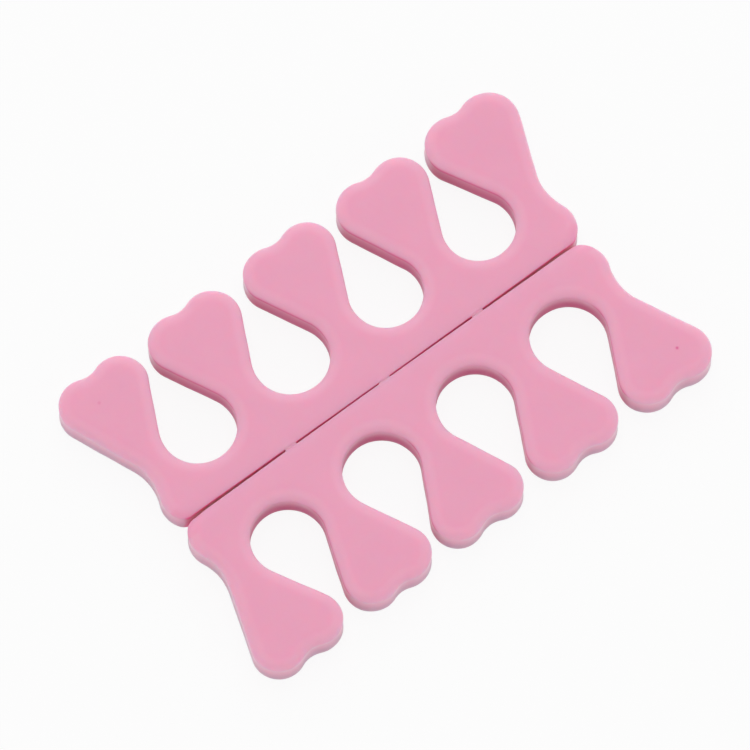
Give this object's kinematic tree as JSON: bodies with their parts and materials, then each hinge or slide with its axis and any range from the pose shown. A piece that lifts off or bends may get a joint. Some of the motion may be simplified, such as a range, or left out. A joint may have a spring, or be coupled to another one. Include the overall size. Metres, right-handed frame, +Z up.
{
  "type": "finger separator",
  "caption": "Foam finger and toe separator for nail care: back-to-back combs with heart-tipped fingers and round gaps, die-cut as one sheet and joined by nicks along a tear line.",
  "frame": {"origin": "middle of the slit between the combs, on the underside that lies on the table", "axes": "+X along the slit, +Y along one comb's fingers, +Z up out of the sheet's top face"},
  "size_m": [0.1008, 0.0672, 0.006],
  "materials": {
    "foam": "matt closed-cell foam, pink"
  },
  "bodies": {
    "root": {"separator_pair": "foam"}
  },
  "joints": []
}
